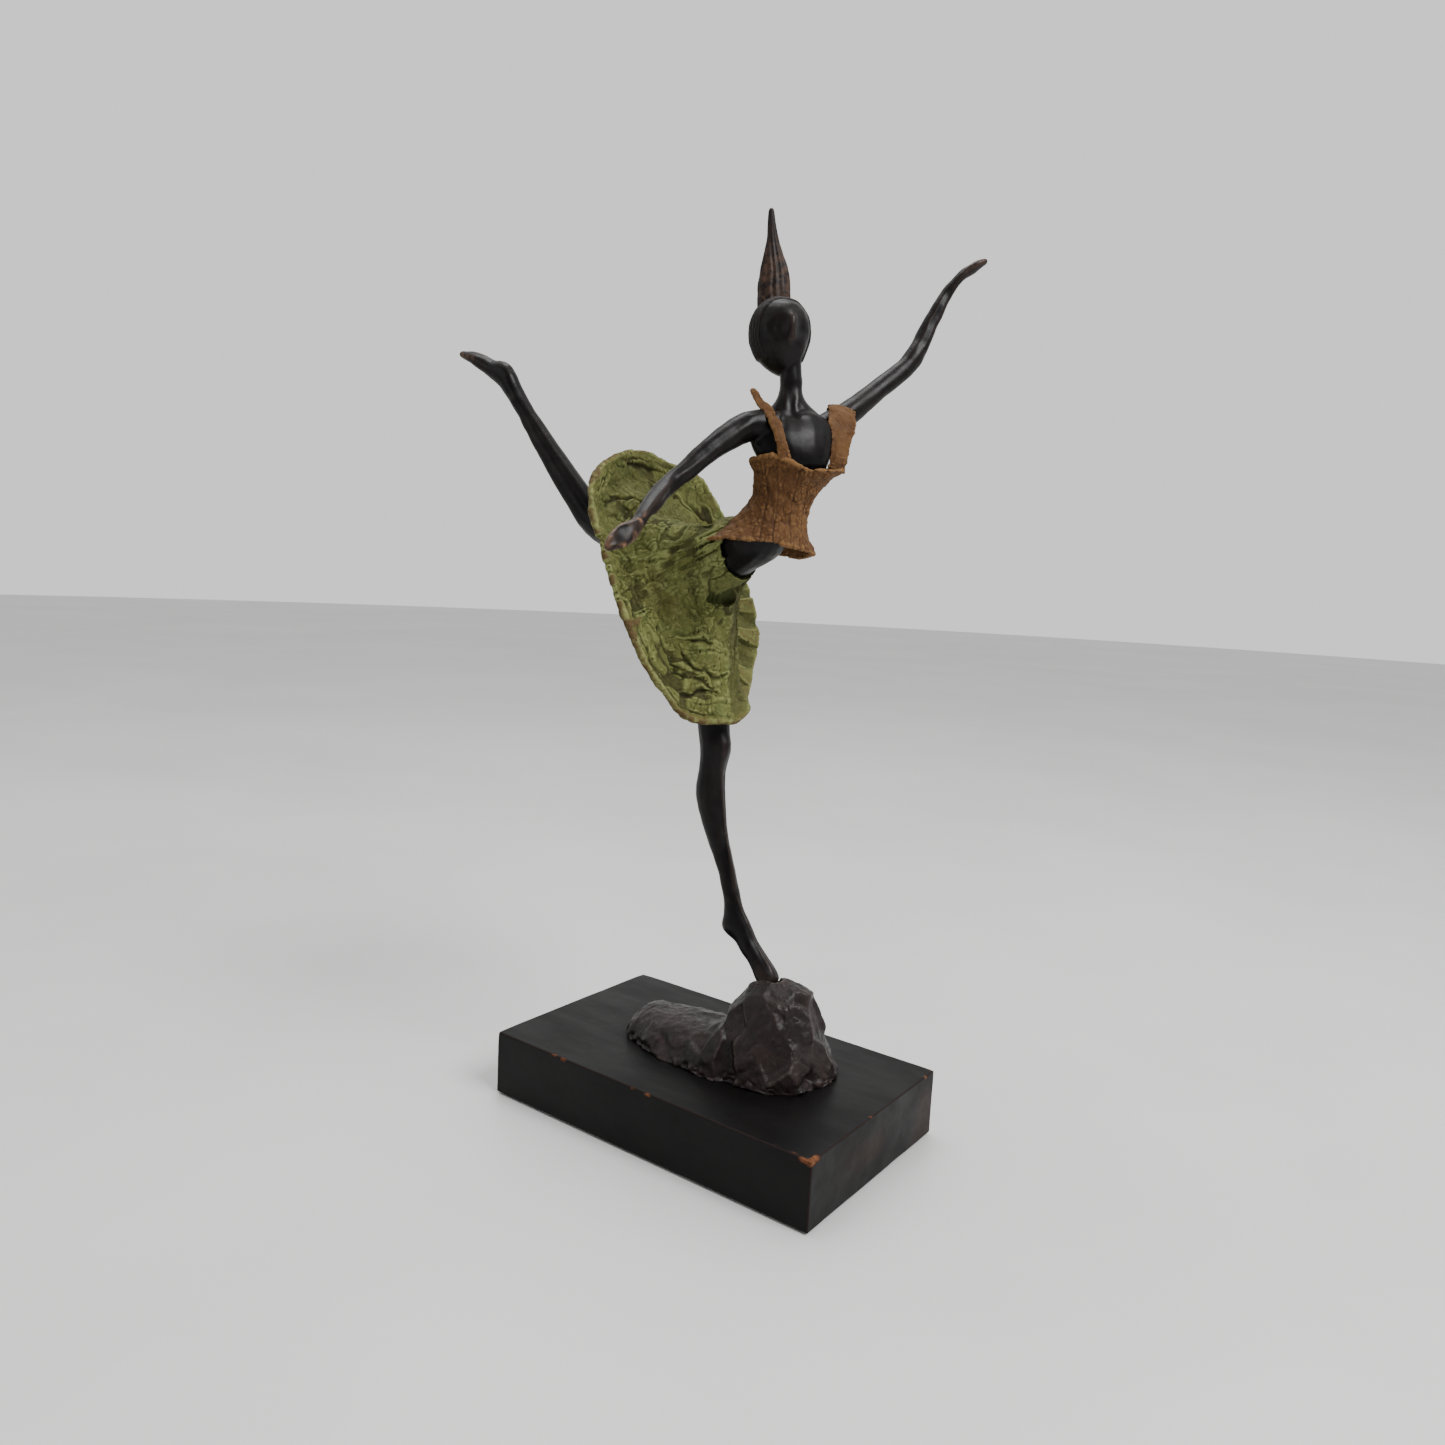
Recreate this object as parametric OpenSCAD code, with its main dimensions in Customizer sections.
// Bronze statuette of a dancer in arabesque, standing on a cast rock on a wooden plinth.
// Millimetres, +Z up, origin at the centre of the underside. +X is the way the dancer faces.
// The bronze is cast in parts that are pinned and brazed at flat seams.

/* [Plinth] */
// Length of the wooden block, along X
plinth_l = 200; // [170:1:260]
// Width of the wooden block, along Y
plinth_w = 120; // [100:1:160]
// Height of the wooden block
plinth_h = 34; // [28:0.5:45]
// Radius of the block's upright corners
plinth_corner_r = 2.5; // [1:0.5:6]
// Thickness of the felt under the block
felt_t = 1; // [0.5:0.1:2]
// Distance that the felt stays inside the block's edge
felt_inset = 3; // [1:0.5:8]

/* [Figure] */
// Height of the bronze above the block
figure_h = 426; // [350:1:515]
// Thickness of the skirt's sheet
skirt_t = 2.2; // [1.6:0.1:3]
// Thickness of the bodice's sheet
bodice_t = 2; // [1.4:0.1:2.6]
// Thickness of the shoulder straps
strap_t = 2.2; // [1.6:0.1:3]
// Room between the skirt's waist and the bodice's hem
waist_room = 3.2; // [2.6:0.1:4]
// Gap that the braze fills between cast parts
braze_gap = 0.3; // [0.2:0.05:0.5]

/* [Rock] */
// Wall of the hollow rock casting
rock_wall = 3.5; // [2.5:0.1:4.5]
// Radius of the threaded bosses inside the rock
boss_r = 6; // [5:0.25:7]
// Distance of the front bolt from the block's centre
bolt_front_x = 42; // [36:1:44]
// Distance of the rear bolt from the block's centre
bolt_rear_x = 26; // [20:1:32]

/* [Fasteners] */
// Radius of the bolts that hold the rock to the block
bolt_r = 2.5; // [2:0.1:3]
// Radius of the bolts' round heads
bolt_head_r = 4.5; // [4:0.1:5.5]
// Corner radius of the hexagonal socket in the heads
bolt_key_r = 2.2; // [1.6:0.1:2.4]
// Height of the bolts' heads
bolt_head_h = 3; // [2.5:0.1:4]
// Length of thread inside the rock
bolt_grip = 9; // [7:0.5:10]
// Radial room around a bolt in the wood
bolt_room = 0.4; // [0.2:0.1:0.8]
// Radius of the washers
washer_r = 6.5; // [6:0.1:8]
// Thickness of the washers
washer_t = 1.2; // [0.8:0.1:1.6]
// Radius of the dowels at the shoulders, hips and neck
dowel_r = 2; // [1.5:0.1:2.4]
// Length of a dowel on each side of its seam
dowel_reach = 8; // [6:0.5:10]
// Radius of the steel pin in the toe
toe_pin_r = 1.2; // [1:0.1:1.4]
// Length of the toe pin on each side of the rock's top
toe_pin_reach = 9; // [7:0.5:10]
// Radial gap around a dowel
dowel_gap = 0.05; // [0.02:0.01:0.1]

/* [Hidden] */
$fn = 40;

bronze_black = [0.09, 0.08, 0.09];
bronze_brown = [0.20, 0.15, 0.14];
patina_green = [0.42, 0.47, 0.22];
patina_rust = [0.42, 0.24, 0.12];

// The figure's points are written at this height and scaled to figure_h.
drawn_h = 426;
k = figure_h / drawn_h;
plinth_top = felt_t + plinth_h;

// ---- points, rings and skins ----

function unit(v) = v / norm(v);
function xyz(key) = [key[0], key[1], key[2]];
function facing(azimuth) = [sin(azimuth), -cos(azimuth), 0];
function leftward(azimuth) = [cos(azimuth), sin(azimuth), 0];
function clamp(v, low, high) = max(low, min(high, v));

function curve_at(a, b, c, d, t) =
    0.5 * (2 * b + (c - a) * t + (2 * a - 5 * b + 4 * c - d) * t * t
        + (3 * b - a - 3 * c + d) * t * t * t);

// A smooth open run through the keys, with `steps` pieces between neighbours.
function smooth_run(keys, steps) =
    let (last = len(keys) - 1)
    [for (i = [0 : last - 1]) for (j = [0 : steps - 1])
        curve_at(keys[max(i - 1, 0)], keys[i], keys[i + 1], keys[min(i + 2, last)], j / steps),
     keys[last]];

// The value at `turn`, from 0 to 1, of a smooth closed run through the keys.
function closed_value(keys, turn) =
    let (n = len(keys), s = turn * n, i = floor(s))
    curve_at(keys[(i + n - 1) % n], keys[i % n], keys[(i + 1) % n], keys[(i + 2) % n], s - i);

function direction(run, i) =
    unit(xyz(run[min(i + 1, len(run) - 1)]) - xyz(run[max(i - 1, 0)]));

// An ellipse around `key`: half-width key[3] to the left, half-depth key[4] to the front.
function limb_ring(key, along, left, sides) =
    let (front = unit(cross(along, left)), side = cross(front, along))
    [for (j = [0 : sides - 1]) let (w = 360 * j / sides)
        k * (xyz(key) + key[3] * cos(w) * side + key[4] * sin(w) * front)];

function limb_rings(keys, left, sides, steps) =
    let (run = smooth_run(keys, steps))
    [for (i = [0 : len(run) - 1]) limb_ring(run[i], direction(run, i), left, sides)];

// The part of a list from index a to index b.
function slice(list, a, b) = [for (i = [a : b]) list[i]];

// A closed solid through rings of equal length, with flat ends.
module skin(rings) {
    n = len(rings[0]);
    last = len(rings) - 1;
    points = [for (r = rings) each r];
    sides = [for (i = [0 : last - 1]) for (j = [0 : n - 1])
        let (a = i * n + j, b = i * n + (j + 1) % n)
        each [[a, a + n, b], [b, a + n, b + n]]];
    low_end = [for (j = [0 : n - 1]) j];
    high_end = [for (j = [0 : n - 1]) last * n + n - 1 - j];
    polyhedron(points, concat([low_end], sides, [high_end]), convexity = 8);
}

// A closed sheet between two grids of rings, joined at both edges.
module sheet(outer, inner) {
    n = len(outer[0]);
    m = len(outer);
    total = n * m;
    points = concat([for (r = outer) each r], [for (r = inner) each r]);
    out_faces = [for (i = [0 : m - 2]) for (j = [0 : n - 1])
        let (a = i * n + j, b = i * n + (j + 1) % n)
        each [[a, b, a + n], [b, b + n, a + n]]];
    in_faces = [for (f = out_faces) [f[0] + total, f[2] + total, f[1] + total]];
    rims = [for (j = [0 : n - 1])
        let (b = (j + 1) % n, p = (m - 1) * n + j, q = (m - 1) * n + b)
        each [[j, j + total, b], [b, j + total, b + total],
              [p, q, p + total], [q, q + total, p + total]]];
    polyhedron(points, concat(out_faces, in_faces, rims), convexity = 10);
}

// A cylinder along a direction, reaching both ways from a point.
module rod(at, along, r, back, ahead) {
    u = unit(along);
    translate(at)
        rotate([0, acos(u[2]), atan2(u[1], u[0])])
            translate([0, 0, -back]) cylinder(r = r, h = back + ahead);
}

module on_plinth() { translate([0, 0, plinth_top]) children(); }

// ---- limbs: [x, y, z above the block, half-width, half-depth] ----

leg_left = leftward(75);
limb_sides = 14;
limb_steps = 3;

standing_keys = [
    [-20, 1, 256, 13, 13], [-20.5, 2, 243, 12.6, 12.8], [-19.5, 3, 227, 11.8, 12.2],
    [-17, 3.5, 206, 10.2, 10.8], [-13.5, 4, 186, 9, 9.6], [-11.8, 4, 170, 8, 8.6],
    [-10.4, 4, 160, 7.6, 8.6], [-11.6, 4, 149, 7, 7.2], [-12, 4, 136, 7.4, 8.2],
    [-7, 4, 117, 5.7, 6.3], [-0.5, 4, 101, 4.5, 5], [5, 4, 85, 4.4, 4.9], [7, 4, 77, 4.6, 6],
    [10.5, 4, 69.5, 5, 7.2], [17, 4, 61.5, 5.2, 5.4], [23.5, 4, 55, 4.8, 4.6],
    [28.5, 4, 50, 4.6, 3.8], [32, 4, 46, 4, 3]];
raised_keys = [
    [-12, -6, 256, 12.6, 12.6], [-22, -7, 258, 12.4, 12.4], [-36, -7, 261, 12, 12],
    [-54, -8, 265, 11, 11], [-73, -8, 269, 9.4, 9.4], [-88, -8, 275, 8.4, 8.6],
    [-99.5, -10, 288, 7.4, 7.6], [-111.5, -12, 302, 6.6, 6.9], [-123.5, -14, 317, 5.6, 5.8],
    [-135, -16, 332, 4.7, 4.9], [-144, -18, 344.5, 4.9, 5.2], [-150.5, -19, 353, 5.4, 6.6],
    [-160, -20, 357.5, 5, 4.8], [-170, -22, 362.5, 4.8, 3.6], [-181, -23, 366.5, 3, 2.2]];
right_arm_keys = [
    [27, -12, 320, 8, 8], [20, -24, 319, 7, 7], [13, -42, 307, 5.4, 5.4], [8, -55, 295, 4.7, 4.8],
    [6, -63, 289, 4.4, 4.5], [10, -78, 280, 4.2, 4], [16, -94, 270.5, 3.1, 2.9],
    [17, -102, 266, 4.8, 2.8], [17, -110, 262, 4, 2.2], [16.5, -114, 259.5, 1.6, 1.2]];
left_arm_keys = [
    [35, 14, 321, 7, 7], [43, 27, 331, 6, 6], [49.5, 42, 343.5, 5.2, 5.2],
    [55.5, 57, 356, 5, 5], [58.5, 63, 364.5, 4.8, 4.7], [61.5, 70, 379, 4.2, 4.1],
    [67.5, 77, 397, 3.2, 3], [71.5, 80.5, 404.5, 3.8, 2.6], [76.5, 85, 409, 4, 2.2],
    [81, 89, 412, 1.8, 1.2]];

standing_rings = limb_rings(standing_keys, leg_left, limb_sides, limb_steps);
raised_rings = limb_rings(raised_keys, leg_left, limb_sides, limb_steps);
right_arm_rings = limb_rings(right_arm_keys, [0.5, 0.2, -0.8], limb_sides, limb_steps);
left_arm_rings = limb_rings(left_arm_keys, [0.6, -0.5, 0.2], limb_sides, limb_steps);

// A seam is the ring at one of a limb's keys: inside it the limb is part of the torso.
standing_seam = 2 * limb_steps;
raised_seam = 2 * limb_steps;
arm_seam = limb_steps;

function middle(ring) = [for (j = [0 : 2]) [for (p = ring) p[j]] * [for (p = ring) 1] / len(ring)];
function seam_point(rings, i) = middle(rings[i]);
function seam_axis(rings, i) = unit(middle(rings[i + 1]) - middle(rings[i - 1]));

module dowel_at(rings, i, r, reach) {
    rod(seam_point(rings, i), seam_axis(rings, i), r, reach, reach);
}

// The toe pin runs from the rock into the end of the standing foot.
foot = len(standing_rings) - 1;
toe_along = [-7, 0, 9];
// Rings of the foot that rest in the rock.
foot_bed = 5;

module at_toe(r, reach) { rod(middle(standing_rings[foot]), toe_along, r, reach, reach); }

module limb(rings, seam) {
    on_plinth() difference() {
        skin(slice(rings, seam, len(rings) - 1));
        dowel_at(rings, seam, dowel_r + dowel_gap, dowel_reach);
    }
}

// ---- torso: [x, y, z, half-width, half-depth, azimuth that it faces, and the way its axis points] ----

torso_keys = [
    [-30, 1, 252, 8, 6, 75, 10, 0, 3], [-22, 0, 254, 15, 12.5, 75, 10, 0, 4],
    [-9, -1.5, 259, 15.5, 14.5, 75, 10, 0, 5], [4, -3, 265, 14.5, 14, 74, 10, -0.5, 6.5],
    [14.5, -4, 269, 15, 13, 71, 7, -1, 9], [22, -4.4, 277, 12, 9.2, 67, 4, -0.5, 10],
    [27.4, -4.8, 286, 10.6, 8, 63, 1.5, 0, 10], [30.4, -4.6, 295, 12.2, 9, 60, 1, 0, 10],
    [33, -3.4, 304, 17, 12, 57, 0, 0, 10], [32, -3.6, 314, 21, 11.8, 56, -1, 0, 10],
    [31, -2, 322, 19, 9.6, 56, -1.5, 0, 10], [29.6, -2, 328, 13, 7.2, 56, -1, 0, 10],
    [28.8, -2.2, 333, 7.6, 6, 56, -0.5, 0, 10], [28.5, -2.2, 338.5, 5.5, 5.2, 56, 0, 0, 10],
    [28.5, -2.2, 343, 5.2, 5.2, 56, 0, 0, 10]];
torso_sides = 20;
torso_steps = 3;
function posed_rings(keys, sides, steps, by) =
    [for (key = smooth_run(keys, steps))
        limb_ring([key[0], key[1], key[2], key[3] + by / k, key[4] + by / k],
            unit([key[6], key[7], key[8]]), leftward(key[5]), sides)];
torso_rings = posed_rings(torso_keys, torso_sides, torso_steps, 0);

neck_at = k * [28.5, -2.2, 340];
neck_along = unit([-1, -0.5, 12]);
neck_r = 5.2 * k;
neck_len = 11 * k;

module torso() {
    color(bronze_black) on_plinth() difference() {
        union() {
            skin(torso_rings);
            skin(slice(standing_rings, 0, standing_seam));
            skin(slice(raised_rings, 0, raised_seam));
            skin(slice(right_arm_rings, 0, arm_seam));
            skin(slice(left_arm_rings, 0, arm_seam));
            rod(neck_at, neck_along, neck_r, 0, neck_len);
        }
        dowel_at(standing_rings, standing_seam, dowel_r + dowel_gap, dowel_reach);
        dowel_at(raised_rings, raised_seam, dowel_r + dowel_gap, dowel_reach);
        dowel_at(right_arm_rings, arm_seam, dowel_r + dowel_gap, dowel_reach);
        dowel_at(left_arm_rings, arm_seam, dowel_r + dowel_gap, dowel_reach);
        rod(neck_at + neck_len * neck_along, neck_along, dowel_r + dowel_gap, dowel_reach, dowel_reach);
    }
}

module standing_leg() {
    color(bronze_black) difference() {
        limb(standing_rings, standing_seam);
        on_plinth() at_toe(toe_pin_r + dowel_gap, toe_pin_reach);
    }
}

module raised_leg() { color(bronze_black) limb(raised_rings, raised_seam); }
module right_arm() { color(bronze_black) limb(right_arm_rings, arm_seam); }
module left_arm() { color(bronze_black) limb(left_arm_rings, arm_seam); }

module hip_dowels() {
    color("silver") on_plinth() {
        dowel_at(standing_rings, standing_seam, dowel_r, dowel_reach - dowel_gap);
        dowel_at(raised_rings, raised_seam, dowel_r, dowel_reach - dowel_gap);
    }
}

module shoulder_dowels() {
    color("silver") on_plinth() {
        dowel_at(right_arm_rings, arm_seam, dowel_r, dowel_reach - dowel_gap);
        dowel_at(left_arm_rings, arm_seam, dowel_r, dowel_reach - dowel_gap);
    }
}

// ---- head and hair ----

head_at = [21.5, -4, 362.5];
head_up = unit([0.8, 0.6, 17]);
head_half_h = 17.6;
head_half_w = 13.8;
head_half_d = 15;
head_az = 56;
head_chin = [2.6, 1.4, 0];
head_rings_n = 15;
// The egg's end rings stay this share of a step away from its poles.
head_pole = 0.35;
head_sides = 20;

// The egg is fuller above than below.
function egg_radius(t) = sqrt(max(0.0004, 1 - t * t)) * (1 + 0.13 * t);

head_rings = [for (i = [0 : head_rings_n - 1])
    let (
        step = clamp(i, head_pole, head_rings_n - 1 - head_pole),
        t = -cos(180 * step / (head_rings_n - 1)),
        r = egg_radius(t))
    limb_ring(concat(head_at + t * head_half_h * head_up + pow(min(t, 0), 2) * head_chin,
        [head_half_w * r, head_half_d * r]),
        head_up, leftward(head_az), head_sides)];

plume_keys = [
    [14, 3, 368, 7.4, 5.4], [12.5, 4, 376, 8, 5.2], [11.2, 4.6, 386, 8.1, 4.6],
    [10.2, 5, 395, 7.4, 4], [9.2, 5.4, 403, 5.2, 3.2], [8, 5.8, 411, 3, 2.3],
    [6.6, 6.2, 419, 2.1, 1.8], [5.8, 6.6, 424.5, 1.5, 1.4], [5.6, 6.7, 426, 0.6, 0.6]];
plume_rings = limb_rings(plume_keys, leftward(40), 14, 3);
plume_at = k * [13, 4, 372];
plume_along = unit([-1.3, 0.8, 10]);
plume_socket_r = 3;
plume_socket_l = 7;
plume_tenon_l = 13;

module head_solid() { skin(head_rings); }

module head() {
    color(bronze_black) on_plinth() difference() {
        head_solid();
        rod(neck_at, neck_along, neck_r + dowel_gap, 0, neck_len + dowel_gap);
        rod(neck_at + neck_len * neck_along, neck_along, dowel_r + dowel_gap, 0, dowel_reach);
        rod(plume_at, plume_along, plume_socket_r + dowel_gap, plume_socket_l, plume_tenon_l);
    }
}

module neck_dowel() {
    color("silver") on_plinth()
        rod(neck_at + neck_len * neck_along, neck_along, dowel_r, dowel_reach - dowel_gap,
            dowel_reach - dowel_gap);
}

// The plume's foot is cut to the head's surface, and its tenon goes into the head.
module hair_plume() {
    color(bronze_black) on_plinth() difference() {
        skin(plume_rings);
        head_solid();
        rod(plume_at, plume_along, plume_socket_r + dowel_gap, plume_socket_l, plume_tenon_l + 1);
    }
}

module plume_tenon() {
    color(bronze_black) on_plinth()
        rod(plume_at, plume_along, plume_socket_r, plume_socket_l - 1, plume_tenon_l);
}

// ---- skirt: a stiff flared sheet, drawn as heights over a tilted plane ----

skirt_foot = [-4, 0, 174];
skirt_across = [0, 1, 0];
skirt_up = unit([-75, 0, 139]);
skirt_out = cross(skirt_across, skirt_up);
// Centre of the waist on the plane, across and up, and its height.
skirt_mid = [-3, 77];
waist_across = 17.5;
waist_up = 17.5;
hip_high = 55.6;
hip_r = 23;
// The hem at each twentieth of a turn, from the dancer's left: [across, up, height].
hem_keys = [
    [60, 88, 8], [61, 110, 8], [58, 130, 7], [53, 145, 6], [40, 150, 5], [24, 154, 5],
    [6, 156, 6], [-14, 150, 6], [-34, 139, 7], [-48, 121, 8], [-51, 100, 8], [-53, 78, 8],
    [-53, 58, 8], [-49, 36, 7], [-40, 18, 5], [-31, 7, 3], [-10, 0, 0], [7, 0, 1],
    [23, 12, 4], [50, 45, 8]];
skirt_sides = 64;
skirt_rings_n = 16;

function share_along(p, a, b) = clamp((p - a) * (b - a) / ((b - a) * (b - a)), 0, 1);

// A smooth hump along the line from a to b; its flanks are steeper with a higher power.
function hump(p, a, b, high_a, high_b, r_a, r_b, power) =
    let (
        s = share_along(p, a, b), d = norm(p - a - s * (b - a)),
        r = r_a + s * (r_b - r_a), h = high_a + s * (high_b - high_a))
    h / (1 + pow(d / r, power));

function skirt_height(p, s, rim) =
    let (
        way = unit(p - skirt_mid),
        hip = (hip_high - way[0] + 6 * way[1]) / (1 + pow(norm(p - skirt_mid) / hip_r, 7)),
        near = p[0] < 4,
        thigh = hump(p, [3, 78], [5, 5], 46, 9, near ? 24 : 17, near ? 20 : 13, 6),
        back_thigh = hump(p, [-6, 78], [-8, 114], 48, 15, 18, 19, 5),
        floor_high = 15 * (1 - s),
        hollow = -4 * sin(180 * s),
        lip = rim * pow(s, 3))
    pow(pow(hip, 8) + pow(thigh, 8) + pow(back_thigh, 8) + pow(floor_high, 8), 1 / 8) + hollow + lip;

function skirt_point(turn, s) =
    let (
        hem = closed_value(hem_keys, turn),
        w = atan2(hem[1] - skirt_mid[1], hem[0] - skirt_mid[0]),
        start = skirt_mid + [waist_across * cos(w), waist_up * sin(w)],
        p = start + s * ([hem[0], hem[1]] - start))
    k * (skirt_foot + p[0] * skirt_across + p[1] * skirt_up + skirt_height(p, s, hem[2]) * skirt_out);

skirt_face = [for (i = [0 : skirt_rings_n - 1])
    [for (j = [0 : skirt_sides - 1]) skirt_point(j / skirt_sides, i / (skirt_rings_n - 1))]];

// The same grid moved by a distance along the sheet's own normal.
function moved(grid, by) =
    let (m = len(grid) - 1, n = len(grid[0]))
    [for (i = [0 : m]) [for (j = [0 : n - 1])
        let (
            down = grid[min(i + 1, m)][j] - grid[max(i - 1, 0)][j],
            round = grid[i][(j + 1) % n] - grid[i][(j + n - 1) % n])
        grid[i][j] + by * unit(cross(down, round))]];

// The heights are drawn for the outside of a sheet this thick; another thickness grows outwards.
drawn_skirt_t = 2.2 * k;

module skirt() {
    color(patina_green) on_plinth()
        sheet(moved(skirt_face, skirt_t - drawn_skirt_t), moved(skirt_face, -drawn_skirt_t));
}

// ---- bodice: rows as in the torso ----

bodice_keys = [
    [34.6, -2.2, 303.8, 21.2, 15, 57, 0, 0, 10], [33.2, -3.2, 299.5, 17.4, 13, 58, 0, 0, 10],
    [31, -4.4, 293.5, 14.4, 11, 60, 1, 0, 10], [28.2, -4.8, 286, 12.6, 10, 62, 1, 0, 10],
    [24.8, -4.8, 277.5, 14, 12, 64, 0.8, 0.2, 10], [20.8, -4, 271, 18.6, 17, 67, 0.3, 0.6, 10],
    [17, -3.8, 264.5, 24.6, 22.5, 66, 0, 1.2, 10]];
bodice_sides = 36;
bodice_steps = 2;
// The pelvis is the torso up to this ring.
pelvis_end = 10;

// The hem is open at the back, where the hips and the skirt's waist pass through it.
module bodice() {
    pelvis_and_skirt = posed_rings(torso_keys, torso_sides, torso_steps, skirt_t + waist_room);
    color(patina_rust) on_plinth() difference() {
        sheet(posed_rings(bodice_keys, bodice_sides, bodice_steps, braze_gap + bodice_t),
            posed_rings(bodice_keys, bodice_sides, bodice_steps, braze_gap));
        skin(posed_rings(torso_keys, torso_sides, torso_steps, braze_gap));
        skin(slice(pelvis_and_skirt, 0, pelvis_end));
    }
}

// ---- shoulder straps ----

strap_az = 56;
strap_sides = 8;
right_strap_keys = [
    [39.5, -20, 305.4, 2.6], [37.2, -21, 313, 2.6], [33, -20.5, 321, 2.7], [27, -18.5, 327, 2.9],
    [21.6, -17.5, 331.5, 2.6], [16.5, -17, 337.2, 1.3]];
left_strap_keys = [
    [47.6, 8, 305.75, 7], [48.4, 10, 313.5, 7], [48, 13.5, 322, 7], [45.4, 18, 330, 7],
    [41.4, 22, 333.6, 6.6], [37, 25, 331, 5.6], [34, 26, 325, 4.4]];

// A strap follows the shoulder and the arm that it lies on. Keys: [x, y, z, half-width].
module strap(keys, arm_rings) {
    flat_keys = [for (key = keys) concat(key, [strap_t / 2 / k])];
    color(patina_rust) on_plinth() difference() {
        skin(limb_rings(flat_keys, leftward(strap_az), strap_sides, limb_steps));
        skin(torso_rings);
        skin(slice(arm_rings, 0, arm_seam + limb_steps));
    }
}

module right_strap() { strap(right_strap_keys, right_arm_rings); }
module left_strap() { strap(left_strap_keys, left_arm_rings); }

// ---- rock: humps across X, [x, y, half-width, height] ----

rock_keys = [
    [-53, 3, 6, 4], [-49, 1.5, 14, 11], [-41, 1, 20, 15], [-25, 0, 25, 16.5], [-9, -0.5, 27, 17],
    [5, 0, 28.5, 18.5], [13, 0.5, 29, 26], [20, 1, 29, 40], [27, 2, 28.5, 46.5], [36, 2.5, 28, 48],
    [45, 3, 26.5, 47.5], [52, 4, 24, 43], [58, 5, 21, 28], [63, 6, 16, 13], [67, 9, 6, 2.5]];
rock_sides = 20;
rock_run = smooth_run(rock_keys, 2);

// Tall humps narrow by this share towards the top; low ones narrow less.
rock_taper = 0.28;
rock_tall = 30;

// One hump: an arch with steep sides, closed along the block.
function arch(key, inset) =
    let (w = key[2] * k - inset, h = key[3] * k - inset, taper = rock_taper * min(1, h / rock_tall))
    [for (j = [0 : rock_sides])
        let (a = 180 * j / rock_sides, c = cos(a), s = sin(a))
        [key[0] * k, key[1] * k + w * sign(c) * pow(abs(c), 0.8) * (1 - taper * s), h * pow(s, 0.85)]];

module rock_body(inset, first, last) {
    skin([for (i = [first : last]) arch(rock_run[i], inset)]);
}

bolt_places = [[-bolt_rear_x, 0], [bolt_front_x, 0]];
bolt_sink = bolt_head_h + washer_t + 1;
bolt_len = plinth_h - bolt_sink + bolt_grip;

module at_bolts() {
    for (p = bolt_places) translate([p[0], p[1], 0]) children();
}

module rock_mount() {
    color(bronze_brown) on_plinth() difference() {
        rock_body(0, 0, len(rock_run) - 1);
        difference() {
            translate([0, 0, -0.01]) rock_body(rock_wall, 3, len(rock_run) - 3);
            at_bolts() cylinder(r = boss_r, h = figure_h / 2);
        }
        at_bolts() translate([0, 0, -1]) cylinder(r = bolt_r + dowel_gap, h = bolt_grip + 2);
        at_toe(toe_pin_r + dowel_gap, toe_pin_reach);
        skin(slice(standing_rings, foot - foot_bed, foot));
    }
}

module toe_pin() { color("silver") on_plinth() at_toe(toe_pin_r, toe_pin_reach - dowel_gap); }

// ---- plinth and fasteners ----

module rounded_block(l, w, h, r) {
    translate([-l / 2 + r, -w / 2, 0]) cube([l - 2 * r, w, h]);
    translate([-l / 2, -w / 2 + r, 0]) cube([l, w - 2 * r, h]);
    for (x = [-1, 1], y = [-1, 1])
        translate([x * (l / 2 - r), y * (w / 2 - r), 0]) cylinder(r = r, h = h);
}

module plinth() {
    color([0.07, 0.06, 0.06]) translate([0, 0, felt_t]) difference() {
        rounded_block(plinth_l, plinth_w, plinth_h, plinth_corner_r);
        at_bolts() {
            translate([0, 0, -1]) cylinder(r = bolt_r + bolt_room, h = plinth_h + 2);
            translate([0, 0, -1]) cylinder(r = washer_r + bolt_room, h = bolt_sink + 1);
        }
    }
}

module felt_underlay() {
    color([0.1, 0.16, 0.12])
        rounded_block(plinth_l - 2 * felt_inset, plinth_w - 2 * felt_inset, felt_t, plinth_corner_r);
}

module base_bolts() {
    color("silver") at_bolts() translate([0, 0, felt_t + bolt_sink - washer_t]) {
        translate([0, 0, -bolt_head_h / 2]) cylinder(r = bolt_r, h = bolt_len + washer_t + bolt_head_h / 2);
        difference() {
            translate([0, 0, -bolt_head_h]) cylinder(r = bolt_head_r, h = bolt_head_h);
            translate([0, 0, -bolt_head_h - 1]) cylinder(r = bolt_key_r, h = 1 + bolt_head_h / 2, $fn = 6);
        }
    }
}

module base_washers() {
    color("silver") at_bolts() translate([0, 0, felt_t + bolt_sink - washer_t]) difference() {
        cylinder(r = washer_r, h = washer_t);
        translate([0, 0, -1]) cylinder(r = bolt_r + dowel_gap, h = washer_t + 2);
    }
}

felt_underlay();
plinth();
base_bolts();
base_washers();
rock_mount();
toe_pin();
standing_leg();
raised_leg();
hip_dowels();
torso();
right_arm();
left_arm();
shoulder_dowels();
head();
neck_dowel();
hair_plume();
plume_tenon();
skirt();
bodice();
right_strap();
left_strap();
